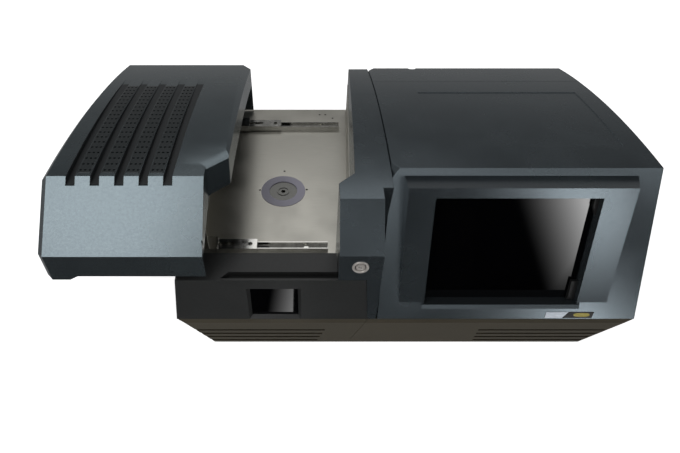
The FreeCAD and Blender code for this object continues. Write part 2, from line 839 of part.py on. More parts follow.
def bezel_block(inset, reach):
    """Raised frame of the screen; its right side flares out to the back."""
    y, z = screen_foot_y + inset, screen_foot_z
    x0, x1 = bezel_left + inset, bezel_right - inset
    outline = [(x0, y), (x1, y), (x1 + bezel_flare * reach, y + reach), (x0, y + reach)]
    return on_screen(prism_z(outline, z + bezel_low + inset, z + bezel_top - inset))


def screen():
    """Raised screen bezel, the display glass, its module and the bracket behind."""
    outer = housing_solid(0, plinth_height)
    shell = bezel_block(0, bezel_reach).cut(outer).cut(bezel_block(wall, bezel_reach + screen_recess))
    half = opening_width / 2
    a, b = screen_x - half, screen_x + half
    low, high = opening_low, opening_high
    step = play / 2
    sleeve = screen_box(a - wall, b + wall, step, screen_recess, low - wall + step, high + wall)
    face, foot = screen_foot_y, screen_foot_z + low
    sill = on_screen(prism_x([(face + step, foot), (face - sill_reach + 2, foot),
                              (face - sill_reach, foot - sill_height), (face + step, foot - sill_height)],
                             a - wall, b + wall))
    reach = bezel_reach + 2 * screen_recess
    sill = sill.cut(outer.cut(screen_box(a - wall, b + wall, -reach, reach, low - wall, high + wall)))
    opening = screen_box(a, b, -screen_recess, 2 * bezel_reach, low, high)
    save("screen_bezel", shell.fuse([sleeve, sill]).cut(opening).removeSplitter())
    mid = (low + high) / 2 - lcd_drop
    g0, g1 = screen_x - lcd_width / 2, screen_x + lcd_width / 2
    v0, v1 = mid - lcd_height / 2, mid + lcd_height / 2
    d = screen_recess
    save("lcd_glass", screen_box(g0, g1, d, d + lcd_sheet, v0, v1))
    save("lcd_module", screen_box(g0, g1, d + lcd_sheet, d + lcd_sheet + lcd_thickness, v0, v1))
    d += lcd_sheet + lcd_thickness
    rim = bracket_border
    plate = screen_box(g0 + rim, g1 - rim, d, d + sheet, v0 + rim, v1 - rim)
    board = screen_box(g0 + 5 * rim, g1 - 5 * rim, d + sheet, d + sheet + screen_recess - 2, v0 + 4 * rim, v1 - 5 * rim)
    save("lcd_bracket", fuse([plate, board]))


def small_display():
    """Status display behind the small window: glass and board."""
    x0, x1 = window_x - 4, window_x + window_width + 4
    z0, z1 = plinth_height + 2 * play, plinth_height + window_height + 2 * window_foot
    y = window_recess
    save("status_glass", box(x0, x1, y, y + sheet, z0, z1))
    save("status_board", box(x0 - 2, x1 + 2, y + sheet, y + sheet + wall, z0, z1 + 2))


def hood_end(inset):
    """Solids that cut the hood's right end: leaning jog, its bevel, end face and roof edge."""
    x, y, xr, far = hood_right_front, hood_jog_start, hood_right_rear, total_width
    low = hood_bottom - 2 * wall
    top = roof(y, hood_lift) - jog_drop
    y0 = y - hood_jog_lean * (top - low)
    jog = prism_z([(x, y0 - far), (x + far, y0 - far), (x + far, y0 + far), (x, y0)],
                  low, front_top + depth, hood_jog_lean)
    end = box(xr, xr + far, -far, far, low, front_top + depth)
    slant = V(1, 0, -edge_slope)
    marks = [at(xr - edge_start - edge_drift * (ye - y), ye, roof(ye, hood_lift)) - slant * wall
             for ye in (y, (y + hood_back) / 2, hood_back + wall)]
    edge = roof_cutter(marks, slant * depth)
    run, step = xr - x, jog_bevel / math.sqrt(2)
    foot = at(x, y, top)
    along = at(x + run, y + run, roof(y + run, hood_lift) - jog_drop) - foot
    rise = at(x - step, y + step, roof(y + step, hood_lift)) - foot
    bevel = Part.Face(ring_wire([foot - rise * 0.1, foot + rise * 2, foot + rise * 2 + along * 2,
                                 foot - rise * 0.1 + along * 2])).extrude(V(0, 0, depth))
    cutters = [jog, end, edge, bevel]
    for cutter in cutters:
        cutter.translate(V(-inset, inset * (math.sqrt(2) - 1), -0.6 * inset))
    return cutters


def chamfer_left(solid, size):
    """Chamfer the front, slope and roof edges of the hood's left side."""
    side = min(solid.Faces, key=lambda face: face.CenterOfMass.x)
    around = solid.BoundBox
    edges = [edge for edge in side.Edges
             if edge.BoundBox.ZMax > around.ZMin + 1 and edge.BoundBox.YMin < around.YMax - 1]
    return solid.makeChamfer(size, edges)


def hood_solid(inset, low):
    """Hood below its front slope and roof, with its side drawn in to the back."""
    i, x = inset, hood_wall_left
    lead = [(i, low), (i, hood_band_high - i * 0.5)]
    body = under_roof(lead, hood_slope_top + i * 0.5, hood_back, hood_lift - i, low, x - 1, hood_right_rear + 1)
    start = x + i - hood_taper * hood_chamfer / hood_back
    plan = [(start, i), (hood_right_rear + 1, i), (hood_right_rear + 1, hood_back - i),
            (start + hood_taper, hood_back - i)]
    body = body.common(prism_z(plan, low, front_top + depth))
    for cutter in hood_end(i):
        body = body.cut(cutter)
    return chamfer_left(body, hood_chamfer - (2 - math.sqrt(2)) * i)


def groove(i, extra):
    """Tapering groove number i in the roof, from the front slope to where it runs out."""
    x = hood_wall_left + groove_first + groove_pitch * i - groove_width / 2 - extra
    y2 = depth - groove_end_from_back
    marks = [(groove_start, groove_depth), ((hood_slope_top + y2) / 2, groove_depth / 2), (y2, 0)]
    ends = [at(x, y, roof(y, hood_lift) - deep - extra) for y, deep in marks]
    return roof_cutter(ends, V(groove_width + 2 * extra, 0, 0))


def grille_bed(i, high):
    """Layer between two grooves: the vent strip, or with a higher top the pocket for it."""
    x = hood_wall_left + groove_first + groove_pitch * (i + 0.5) - grille_width / 2
    return roof_layer(x, x + grille_width, grille_start, depth - grille_end_from_back,
                      hood_lift - grille_sheet, hood_lift + high)


def hood():
    """Moulded hood with its grooves, end rim, foot and bosses, and the vent strips between."""
    low, x, xr = hood_bottom, hood_wall_left, hood_right_rear
    cavity = hood_solid(wall, low - 1)
    for i in range(groove_count):
        cavity = cavity.cut(groove(i, wall))
    mouth = under_roof([(wall, low - 2), (wall, hood_band_high - 2 * wall)], hood_slope_top + 4 * wall,
                       hood_back - wall, hood_lift - hood_rim, low - 2, hood_right_front - 8 * wall, xr + 1)
    outer = hood_solid(0, low)
    shell = outer.cut(cavity).cut(mouth)
    bosses = [pin(boss_radius, bx, by, liner_top, front_top - liner_top).common(outer)
              for bx in (x + boss_inset, hood_right_front - boss_inset)
              for by in (slide_front_y + boss_inset, depth - boss_from_back)]
    shell = fuse([shell] + bosses)
    for i in range(groove_count):
        shell = shell.cut(groove(i, 0))
    for i in range(groove_count - 1):
        shell = shell.cut(grille_bed(i, 1))
    clear = parapet_back + wall
    foot, slant = x + hood_foot_width, x + hood_foot_width + hood_foot_slant
    keep = prism_y([(x - 1, hood_foot_low), (foot, hood_foot_low), (slant, hood_band_low),
                    (slant, hood_band_low + 1), (x - 1, hood_band_low + 1)], -1, clear)
    shell = shell.cut(box(x - 1, xr + 1, -1, clear, low - 1, hood_band_low).cut(keep))
    heel = prism_x([(-1, low - 1), (clear + hood_heel, low - 1), (clear, low + hood_heel), (-1, low + hood_heel)],
                   x - 1, xr + 1)
    tip = prism_y([(hood_right_front - hood_tip, front_top + hood_tip), (hood_right_front + 1, hood_band_high),
                   (hood_right_front + 1, front_top + hood_tip)], -1, hood_tip_deep)
    save("hood_shell", shell.cut(heel).cut(tip))
    save("hood_grilles", group([grille_bed(i, 0) for i in range(groove_count - 1)]))


def hood_liner():
    """Steel shield box inside the hood: it hangs on the hood's bosses and rests on the slides."""
    x0, x1 = hood_wall_left + liner_left, hood_right_front - liner_right
    y0, y1 = slide_front_y - liner_margin, slide_rear_y + liner_margin
    low, high = outer_top, liner_top
    outer = box(x0, x1, y0, y1, low, high)
    inner = box(x0 + sheet, x1 + 1, y0 + sheet, y1 - sheet, low, high - sheet)
    flanges = [box(x0, x1 - liner_margin, y - liner_margin, y + liner_margin, low, low + sheet)
               for y in (slide_front_y, slide_rear_y)]
    save("hood_liner", fuse([outer.cut(inner)] + flanges))
    m1 = x1 - liner_right
    m0 = m1 - magnet_length
    save("interlock_magnet", box(m0, m1, y0 - magnet_width, y0, stage_top + wall, low + wall))
    s1 = y0 - magnet_width - switch_gap
    save("interlock_switch", box(hood_travel + m0 - 1, hood_travel + m1 + 1, s1 - switch_size, s1,
                                 stage_top, stage_top + switch_size))
    screws = [pin(liner_screw_radius, x, y, low + sheet, liner_screw_height)
              for y in (slide_front_y, slide_rear_y) for x in (x0 + 2 * liner_margin, x1 - 4 * liner_margin)]
    save("liner_screws", group(screws))


def mains_inlet(x, z):
    """Mains inlet with its flange, socket and three pins."""
    y0, y1 = panel_front, panel_back
    a, b = inlet_width / 2, inlet_height / 2
    body = box(x - a + play / 2, x + a - play / 2, y0 - inlet_deep, y1, z - b + play / 2, z + b - play / 2)
    flange = box(x - a - inlet_flange, x + a + inlet_flange, y1, y1 + sheet + 1, z - b - wall, z + b + wall)
    socket = box(x - a + 2, x + a - 2, y0 - 14, y1 + wall, z - b + 4, z + b - 4)
    pins = [box(x + dx - 1, x + dx + 1, y0 - 16, y0 - 1, z + dz - 2, z + dz + 2)
            for dx, dz in ((-7, -2), (0, 3), (7, -2))]
    save("power_inlet", fuse([fuse([body, flange]).cut(socket)] + pins))


def power_switch(x, z):
    """Rocker switch: frame with its pin, and the rocker that tilts on it."""
    y0, y1 = panel_front, panel_back
    a, b = rocker_width / 2, rocker_height / 2
    half = a - wall
    across = V(1, 0, 0)
    frame = fuse([box(x - a + play / 2, x + a - play / 2, y0 - 18, y1, z - b + play / 2, z + b - play / 2),
                  box(x - a - 2, x + a + 2, y1, y1 + 2, z - b - 2, z + b + 2)])
    frame = frame.cut(box(x - half - 0.6, x + half + 0.6, y0 - 10, y1 + wall, z - b + 1.4, z + b - 1.4))
    axle = rod(rocker_pin_radius, x - a + sheet, rocker_y, z, 2 * (a - sheet), across)
    save("rocker_frame", frame.fuse(axle).removeSplitter())
    rocker = prism_x([(y1 - 6, z - 10), (y1 + 0.5, z - 10), (y1 + 2, z), (y1 + 4.5, z + 10), (y1 - 6, z + 8)],
                     x - half, x + half)
    rocker = rocker.fuse(rod(2 * rocker_pin_radius, x - half, rocker_y, z, 2 * half, across))
    bore = rod(rocker_pin_radius + shaft_play, x - a, rocker_y, z, 2 * a, across)
    save("power_rocker", rocker.cut(bore).removeSplitter())


def sockets(x, z):
    """Block with four USB sockets and a network socket."""
    y0, y1 = panel_front, panel_back
    a, b = ports_width / 2 - play / 2, ports_height / 2 - play / 2
    block = box(x - a, x + a, y0 - 20, y1 + 0.5, z - b, z + b)
    w, h = usb_width / 2, usb_height / 2
    for dx in (-12.5, 2.0):
        for dz in (-usb_offset, usb_offset):
            block = block.cut(box(x + dx - w, x + dx + w, y0 - 8, y1 + 1, z + dz - h, z + dz + h))
    half = network_height / 2
    save("port_block", block.cut(box(x + a - 1.8 - network_width, x + a - 1.8, y0 - 8, y1 + 1, z - half, z + half)))


def back_panel():
    """Steel back panel with the inlet, switch, sockets and fan mounted in it."""
    y0, y1 = panel_front - 1, panel_back + 1
    low = plinth_height
    panel = box(housing_left, base_width, panel_front, panel_back, low, back_top - panel_below_top)
    panel = panel.common(beyond_left_face(wall, low - 1)).cut(beyond_right_face(wall, low - 1))
    for wedge in corner_cuts(wall):
        panel = panel.cut(wedge)
    x, z = housing_left + inlet_from_left, low + socket_level
    for dx, width, height in ((0, inlet_width, inlet_height), (rocker_from_inlet, rocker_width, rocker_height),
                              (rocker_from_inlet + ports_from_rocker, ports_width, ports_height)):
        panel = panel.cut(box(x + dx - width / 2, x + dx + width / 2, y0, y1, z - height / 2, z + height / 2))
    mains_inlet(x, z)
    power_switch(x + rocker_from_inlet, z)
    sockets(x + rocker_from_inlet + ports_from_rocker, z)
    half = fan_size / 2
    x, z = belt_right - wall - half - fan_margin, low + half + fan_level
    save("back_panel", panel.cut(rod(half - 2.5, x, y0, z, sheet + 2, V(0, 1, 0))))
    fan(x, z, panel_front, panel_back)


def fan(x, z, y0, y1):
    """Cooling fan behind the panel: frame, guard outside, rotor on its hub shaft."""
    half = fan_size / 2
    out = V(0, 1, 0)
    start = y0 - fan_deep
    frame = box(x - half, x + half, start, y0, z - half, z + half)
    frame = frame.cut(rod(half - 2, x, start - 1, z, fan_deep + 2, out))
    spider = [box(x - half + 1, x + half - 1, start, start + 2, z - 2, z + 2),
              box(x - 2, x + 2, start, start + 2, z - half + 1, z + half - 1),
              rod(fan_hub - 1, x, start, z, wall, out), rod(shaft_radius, x, start, z, fan_deep - 2, out)]
    save("fan_frame", fuse([frame] + spider))
    hub_y = start + wall + play
    blade = box(x - 1, x + 1, hub_y + 1, y0 - wall, z + fan_hub - 1, z + half - wall + 0.2)
    blade.rotate(at(x, hub_y + fan_deep / 3, z), V(0, 0, 1), fan_pitch)
    rotor = [rod(fan_hub, x, hub_y, z, fan_deep - 5, out)]
    for i in range(fan_blades):
        turned = blade.copy()
        turned.rotate(at(x, 0, z), out, 360.0 * i / fan_blades)
        rotor.append(turned)
    bore = rod(shaft_radius + shaft_play, x, start, z, fan_deep - 1, out)
    save("fan_rotor", fuse(rotor).cut(bore))
    bar = guard_bar / 2
    guard = [pin(a, x, y1, z, guard_sheet, out, guard_sides).cut(pin(b, x, y1, z, guard_sheet, out, guard_sides))
             for a, b in [(r + bar, r - bar) for r in guard_rings] + [(half + 1, half - wall)]]
    for turn in (45, 135):
        spoke = box(x - half + 1, x + half - 1, y1, y1 + guard_sheet, z - bar, z + bar)
        spoke.rotate(at(x, y1, z), out, turn)
        guard.append(spoke)
    save("fan_guard", fuse(guard))


def xray_module():
    """Under the stage: shield block on its stand, tube, detector and camera."""
    x, y, z = aperture_x, aperture_y, block_middle
    x0, x1, y0, y1 = x - block_left, x + block_right, y - block_half, y + block_half
    beam = rod(beam_radius, x, y, block_low + wall, block_high - block_low)
    save("shield_block", box(x0, x1, y0, y1, block_low, block_high).cut(beam))
    t = stand_sheet
    stand = box(x0 - 2 * t, x1 + t, y0 + wall * t, y1 - wall * t, tray_sheet, block_low)
    save("module_stand", stand.cut(box(x0 - t, x1, y0, y1, tray_sheet + t, block_low - t)))
    length = y0 - xray_neck - (hv_front + hv_deep + wall * 3)
    toward = V(0, -1, 0)
    save("xray_tube", fuse([rod(xray_radius, x - xray_offset, y0, z, length, toward),
                            rod(xray_neck_radius, x - xray_offset, y0 - length, z, xray_neck, toward)]))
    end = y1 + detector_neck
    cx = x - detector_radius + 1
    save("detector", fuse([rod(detector_radius, cx, y1, z, detector_neck, V(0, 1, 0)),
                           box(cx - detector_half, cx + detector_half, end, end + detector_length,
                               z - detector_radius - wall, z + detector_radius + wall)]))
    half = camera_half
    save("camera_module", fuse([box(x0 - camera_length, x0, y - half, y + half, z - half + 2, z + half - 2),
                                rod(half / 2, x0 - camera_length, y, z, camera_length / 2, V(-1, 0, 0))]))


def filter_wheel():
    """Filter wheel with holes of growing size, turned by a motor that stands on the tray."""
    x, y, z = axle_x, aperture_y, wheel_level
    wheel = rod(wheel_radius, x, y, z, wheel_sheet)
    for i in range(wheel_holes):
        turn = math.pi * (1 + 2 * i / wheel_holes)
        wheel = wheel.cut(pin(2.0 + i, x + wheel_hole_circle * math.cos(turn),
                              y + wheel_hole_circle * math.sin(turn), z - 1, wheel_sheet + 2))
    wheel = wheel.fuse(rod(wheel_hub_radius, x, y, z - wheel_hub_height, wheel_hub_height))
    bore = rod(shaft_radius + shaft_play, x, y, z - wheel_hub_height - 1, wheel_hub_height + wheel_sheet + 2)
    save("filter_wheel", wheel.cut(bore).removeSplitter())
    top = z - 2 * wheel_hub_height - 1
    save("wheel_motor", fuse([rod(motor_radius, x, y, tray_sheet, top - tray_sheet),
                              rod(shaft_radius, x, y, top - 1, z + wheel_sheet - top)]))


def card_on_posts(x0, y0, width, length, post, chips):
    """Circuit board on four posts with blocks for its parts, placed from the board's corner."""
    z = tray_sheet
    high = z + post + board_sheet
    i = post_inset
    posts = [pin(post_radius, x, y, z, post, V(0, 0, 1), 6)
             for x in (x0 + i, x0 + width - i) for y in (y0 + i, y0 + length - i)]
    blocks = [box(x0 + a * width, x0 + b * width, y0 + c * length, y0 + d * length, high, high + tall)
              for a, b, c, d, tall in chips]
    return fuse([box(x0, x0 + width, y0, y0 + length, z + post, high)] + posts + blocks)


def electronics():
    """High-voltage supply, power supply and boards on the floor tray."""
    z = tray_sheet
    save("hv_supply", box(hv_left, hv_left + hv_width, hv_front, hv_front + hv_deep, z, z + hv_height))
    x1, y1 = base_width - supply_from_right, depth - supply_from_back
    save("power_supply", box(x1 - supply_width, x1, y1 - supply_length, y1, z, z + supply_height))
    x0, y0 = housing_left + 7 * wall, depth - board_from_back - board_length
    save("mainboard", card_on_posts(x0, y0, board_width, board_length, board_post,
                                    [(0.25, 0.6, 0.25, 0.45, 12.4), (0.7, 0.93, 0.6, 0.95, 10.4)]))
    save("pulse_processor", card_on_posts(hv_left + hv_width + board_width / 3, card_front, card_width,
                                          card_length, card_post, [(0.2, 0.7, 0.22, 0.78, 18.4)]))


def main():
    """Build every piece and write it to parts/."""
    os.makedirs("parts", exist_ok=True)
    for build in (plinth, chassis, deck_frame, front_panel, front_deck, stage_parts, slides, column, button,
                  housing, screen, small_display, hood, hood_liner, back_panel, xray_module, filter_wheel,
                  electronics):
        build()


main()
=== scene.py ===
"""Bench x-ray fluorescence analyzer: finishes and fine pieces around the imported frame, in metres."""
import json
import math

import bmesh
import bpy
import numpy as np
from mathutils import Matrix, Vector


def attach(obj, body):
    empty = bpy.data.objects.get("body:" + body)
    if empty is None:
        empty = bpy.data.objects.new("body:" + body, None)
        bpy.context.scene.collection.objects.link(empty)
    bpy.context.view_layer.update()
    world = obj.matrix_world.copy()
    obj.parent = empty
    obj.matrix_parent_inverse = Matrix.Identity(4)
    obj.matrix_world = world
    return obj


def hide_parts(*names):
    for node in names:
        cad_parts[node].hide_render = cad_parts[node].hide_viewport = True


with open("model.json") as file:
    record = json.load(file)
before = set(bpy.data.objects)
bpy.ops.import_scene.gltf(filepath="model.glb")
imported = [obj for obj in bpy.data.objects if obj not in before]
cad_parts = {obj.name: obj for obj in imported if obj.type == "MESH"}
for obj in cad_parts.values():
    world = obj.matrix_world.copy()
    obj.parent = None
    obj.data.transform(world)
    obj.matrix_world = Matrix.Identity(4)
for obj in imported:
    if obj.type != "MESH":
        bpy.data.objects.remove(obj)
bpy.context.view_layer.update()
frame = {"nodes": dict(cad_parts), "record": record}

MM = 0.001
NODES = frame["nodes"]

# Camera: worked out from the photo's vanishing lines and the sizes of the screen and the stage ring
CAMERA_PLACE = (-0.0532, -0.6166, 0.6947)
CAMERA_PITCH_DOWN = 46.41
CAMERA_LENS = 31.645
CAMERA_SHIFT_X = 0.0481

# Studio: grey levels of the surroundings, by height, in front of the object and behind it
FRONT_SKY = ((0.0, "#050506"), (0.58, "#050506"), (0.65, "#c8cbce"), (0.68, "#b8bbbe"),
             (0.74, "#646669"), (0.84, "#585a5d"), (1.0, "#545659"))
BACK_SKY = ((0.0, "#5c5d5e"), (0.5, "#5c5d5e"), (0.66, "#48494a"), (0.75, "#343536"),
            (0.79, "#3a3b3c"), (0.84, "#757677"), (1.0, "#6a6b6c"))
SKY_STRENGTH = 2.5
FLOOR_GLOW = 0.85
FLOOR_REACH = 6.0

# The part's own millimetres, from the base's left side, its front and the plinth's bottom; ORIGIN is the frame's
ORIGIN = np.array([208.8, 205.0, -8.0])
HOOD_LIFT = 6.0
ROOF_MARKS = ((90.8, 252.6), (250.0, 227.2), (410.0, 181.6))
SLOPE_FOOT_Z, SLOPE_TOP_Y = 207.7, 68.5
GROOVE_COUNT, GROOVE_FIRST, GROOVE_PITCH, GROOVE_HALF = 5, -98.1, 26.1, 4.95
GROOVE_START, GROOVE_END, GROOVE_DEEP = 30.0, 330.0, 7.7
CHANNEL_WALL, CHANNEL_CLEAR, LIP_DROP = 0.35, 0.05, 0.25
VENT_START, VENT_END, VENT_ROWS, VENT_ACROSS = 74.0, 300.0, 20, 3
VENT_TILE_HALF, VENT_RADIUS, VENT_DEEP, VENT_WALL = 2.5, 1.55, 3.2, 0.3
STAGE_TOP = 104.0
LEVER_TIPS, LEVER_LENGTH, LEVER_RADIUS = ((91.25, 103.5), (114.75, 360.5)), 16, 2.3
FRONT_FOOT_Z, FRONT_RUN = 94.4, 90.8 / 158.2
FRONT_OUT = np.array([0, -1, FRONT_RUN]) / math.hypot(1, FRONT_RUN)
BADGE_THICK = 0.6
SCREEN_TILT = math.radians(17.4)
GLASS_DEPTH, STOP_THICK = 13.7, 5
BUTTON = (213.0, 0.0, 190.8)
BACK_PANEL_Y = 407.0


def srgb(hex_colour):
    """Linear colour of an sRGB hex value such as '#36393b'."""
    channels = [int(hex_colour[i:i + 2], 16) / 255 for i in (1, 3, 5)]
    linear = [c / 12.92 if c <= 0.04045 else ((c + 0.055) / 1.055) ** 2.4 for c in channels]
    return (*linear, 1.0)


def add(tree, kind, sockets, stops=(), **settings):
    """Adds a node: settings are its properties, sockets take values or outputs, stops fill a ramp."""
    node = tree.nodes.new(kind)
    for name, value in settings.items():
        setattr(node, name, value)
    for name, value in sockets.items():
        if isinstance(value, bpy.types.NodeSocket):
            tree.links.new(value, node.inputs[name])
        else:
            node.inputs[name].default_value = value
    for i, (position, colour) in enumerate(stops):
        mark = node.color_ramp.elements[i] if i < 2 else node.color_ramp.elements.new(position)
        mark.position = position
        mark.color = srgb(colour)
    return node.outputs[0] if len(node.outputs) == 1 else node.outputs


def blank_material(name, **values):
    """Node material with values set on its shader: returns it, its tree, shader and Object coordinates."""
    made = bpy.data.materials.new(name)
    made.use_nodes = True
    tree = made.node_tree
    shader = tree.nodes["Principled BSDF"]
    for socket, value in values.items():
        shader.inputs[socket.replace("_", " ")].default_value = value
    place = add(tree, "ShaderNodeTexCoord", {})["Object"]
    return made, tree, shader, place


def clouded_finish(name, dark, light, roughness, swing, cloud_mm, grain_mm, relief_mm, along=(1, 1, 1), **values):
    """Shared build: a cloud tints colour and roughness, a grain tints again and stands as fine relief."""
    made, tree, shader, place = blank_material(name, **values)
    drawn = add(tree, "ShaderNodeMapping", {"Vector": place, "Scale": along})
    cloud = add(tree, "ShaderNodeTexNoise",
                {"Vector": place, "Scale": 1 / (cloud_mm * MM), "Detail": 3.0})["Fac"]
    grain = add(tree, "ShaderNodeTexNoise",
                {"Vector": drawn, "Scale": 1 / (grain_mm * MM), "Detail": 2.0})["Fac"]
    both = add(tree, "ShaderNodeMath", {0: cloud, 1: grain}, operation="ADD")
    share = add(tree, "ShaderNodeMapRange", {"Value": both, "From Min": 0.6, "From Max": 1.4})[0]
    tone = add(tree, "ShaderNodeValToRGB", {"Fac": share}, ((0.0, dark), (1.0, light)))["Color"]
    rough = add(tree, "ShaderNodeMapRange", {"Value": cloud, "From Min": 0.3, "From Max": 0.7,
                                             "To Min": roughness - swing, "To Max": roughness + swing})[0]
    relief = add(tree, "ShaderNodeBump", {"Height": grain, "Strength": 0.4, "Distance": relief_mm * MM})
    tree.links.new(tone, shader.inputs["Base Color"])
    tree.links.new(rough, shader.inputs["Roughness"])
    tree.links.new(relief, shader.inputs["Normal"])
    return made


def metallic_lacquer(name, dark, light, roughness=0.26, metallic=0.85):
    """Sprayed metallic lacquer on moulded shells: fine flakes, orange peel, wide soft glints."""
    return clouded_finish(name, dark, light, roughness, 0.03, 70.0, 2.4, 0.002, Metallic=metallic)


def brushed_sheet(name, dark, light):
    """Stainless sheet brushed along X: very fine lines and a few smudges, soft wide highlights."""
    return clouded_finish(name, dark, light, 0.36, 0.06, 50.0, 0.4, 0.004, (0.015, 1, 1), Metallic=1.0)


def plated_metal(name, dark, light, roughness=0.16, grain_mm=0.8):
    """Plated or turned metal: near mirror, slightly clouded, with a trace of tool marks."""
    return clouded_finish(name, dark, light, roughness, 0.05, 8.0, grain_mm, 0.003, Metallic=1.0)


def moulded_plastic(name, dark, light, roughness=0.45):
    """Injection-moulded plastic: fine spark-eroded grain and a soft, even sheen."""
    return clouded_finish(name, dark, light, roughness, 0.05, 25.0, 0.6, 0.012)


def cover_glass(name, dark, light):
    """Polished cover glass over a display that is off: black, sharp reflections, a breath of haze."""
    return clouded_finish(name, dark, light, 0.03, 0.01, 50.0, 3.0, 0.0002, IOR=1.5)


MATERIALS = {
    "hood_paint": metallic_lacquer("charcoal_lacquer_hood", "#5b6469", "#687276"),
    "housing_paint": metallic_lacquer("charcoal_lacquer_housing", "#575f64", "#636c71"),
    "base_paint": metallic_lacquer("black_lacquer_base", "#272828", "#303131", 0.4, 0.2),
    # Plinth: a dark lacquer whose brown tint is painted warm light bounced from the floor
    "plinth_paint": metallic_lacquer("plinth_lacquer_painted_warm_bounce", "#433e33", "#4d483c", 0.4, 0.3),
    "stainless": brushed_sheet("brushed_stainless", "#aeaca4", "#bebcb4"),
    "zinc_steel": plated_metal("bright_zinc_plate", "#b4b3ae", "#dddcd8"),
    "black_screw": plated_metal("black_oxide_screw", "#222222", "#3a3a3a", 0.35),
    "white_ring": moulded_plastic("white_acetal_ring", "#b6b3c6", "#c6c3d4", 0.4),
    "aluminium": plated_metal("bead_blasted_aluminium", "#6e6e6b", "#8a8a87", 0.4, 1.2),
    # Satin chrome on the button: softer and less metallic than the slides' bright plate
    "nickel": clouded_finish("satin_chromed_ring", "#b5b0ab", "#cfcac5", 0.3, 0.04, 8.0, 0.8, 0.003,
                             Metallic=0.55),
    "black_plastic": moulded_plastic("black_moulded_plastic", "#141414", "#1f1f1f"),
    "display_glass": cover_glass("black_display_glass", "#020203", "#030304"),
    "brass": plated_metal("turned_brass", "#a07c3c", "#c9a25a", 0.28),
    "board": moulded_plastic("green_circuit_board", "#123a22", "#1b5230", 0.35),
    "rubber": moulded_plastic("black_rubber_foot", "#171717", "#222222", 0.7),
}


def dress_frame():
    """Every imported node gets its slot's finish."""
    slots = {row["node"]: row["material_slot"] for row in frame["record"]["subparts"]}
    for name, obj in NODES.items():
        obj.data.materials.clear()
        obj.data.materials.append(MATERIALS[slots[name]])


def round_edges(obj, width_mm, sharp_degrees):
    """Bevels the edges that turn by more than an angle."""
    bevel = obj.modifiers.new("round", "BEVEL")
    bevel.width = width_mm * MM
    bevel.segments = 2
    bevel.limit_method = "ANGLE"
    bevel.angle_limit = math.radians(sharp_degrees)


def soften(name, width_mm):
    """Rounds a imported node's edges: weld, dissolve flat seams, bevel, then shade by face area."""
    obj = NODES[name]
    weld = obj.modifiers.new("weld", "WELD")
    weld.merge_threshold = 0.01 * MM
    flat = obj.modifiers.new("flat", "DECIMATE")
    flat.decimate_type = "DISSOLVE"
    flat.angle_limit = math.radians(0.5)
    round_edges(obj, width_mm, 25)
    shade = obj.modifiers.new("shade", "WEIGHTED_NORMAL")
    shade.mode = "FACE_AREA"
    shade.weight = 100


def camera():
    """The photo's camera: a wide lens above the front, shifted a little to the right."""
    data = bpy.data.cameras.new("photo_camera")
    data.lens = CAMERA_LENS
    data.shift_x = CAMERA_SHIFT_X
    made = bpy.data.objects.new("photo_camera", data)
    made.location = CAMERA_PLACE
    made.rotation_euler = (math.radians(90 - CAMERA_PITCH_DOWN), 0, 0)
    bpy.context.scene.collection.objects.link(made)
    bpy.context.scene.camera = made


def softbox(name, place, target, size, watts):
    """Rectangular soft light that looks at a target and isn't seen itself."""
    data = bpy.data.lights.new(name, "AREA")
    data.shape = "RECTANGLE"
    data.size, data.size_y = size
    data.energy = watts
    made = bpy.data.objects.new(name, data)
    made.location = place
    made.rotation_euler = (Vector(target) - Vector(place)).to_track_quat("-Z", "Y").to_euler()
    made.visible_camera = False
    bpy.context.scene.collection.objects.link(made)


def sky():
    """Surroundings by direction: a ladder of greys by height in front, another behind, blended between."""
    world = bpy.data.worlds.new("studio")
    world.use_nodes = True
    tree = world.node_tree
    way = add(tree, "ShaderNodeTexCoord", {})["Generated"]
    parts = add(tree, "ShaderNodeSeparateXYZ", {"Vector": way})
    height = add(tree, "ShaderNodeMapRange", {"Value": parts["Z"], "From Min": -1.0})[0]
    behind = add(tree, "ShaderNodeMapRange", {"Value": parts["Y"], "From Min": -0.2, "From Max": 0.4})[0]
    levels = [add(tree, "ShaderNodeValToRGB", {"Fac": height}, stops)["Color"]
              for stops in (FRONT_SKY, BACK_SKY)]
    grey = add(tree, "ShaderNodeMix", {"Factor": behind, "A": levels[0], "B": levels[1]})[0]
    tree.links.new(grey, tree.nodes["Background"].inputs["Color"])
    tree.nodes["Background"].inputs["Strength"].default_value = SKY_STRENGTH
    bpy.context.scene.world = world


def quad(name, corners):
    """Flat four-cornered object for the studio."""
    data = bpy.data.meshes.new(name)
    data.from_pydata(corners, [], [(0, 1, 2, 3)])
    obj = bpy.data.objects.new(name, data)
    bpy.context.scene.collection.objects.link(obj)
    return obj


def glow_card(name, corners, strength, ladders):
    """Glowing card that only gloss sees. Each ladder (direction, dark, bright, power) gives (direction . place)
    run from 0 at dark to 1 at bright and raised to its power; the light is strength times all of them."""
    obj = quad(name, corners)
    obj.visible_camera = obj.visible_shadow = obj.visible_diffuse = False
    made = bpy.data.materials.new(name)
    made.use_nodes = True
    tree = made.node_tree
    tree.nodes.clear()
    place = add(tree, "ShaderNodeTexCoord", {})["Object"]
    light = strength
    for direction, dark, bright, power in ladders:
        along = add(tree, "ShaderNodeVectorMath", {0: place, 1: direction}, operation="DOT_PRODUCT")["Value"]
        step = add(tree, "ShaderNodeMapRange", {"Value": along, "From Min": dark, "From Max": bright})[0]
        curve = add(tree, "ShaderNodeMath", {0: step, 1: power}, operation="POWER")
        light = add(tree, "ShaderNodeMath", {0: curve, 1: light}, operation="MULTIPLY")
    glow = add(tree, "ShaderNodeEmission", {"Strength": light})
    add(tree, "ShaderNodeOutputMaterial", {"Surface": glow})
    obj.data.materials.append(made)


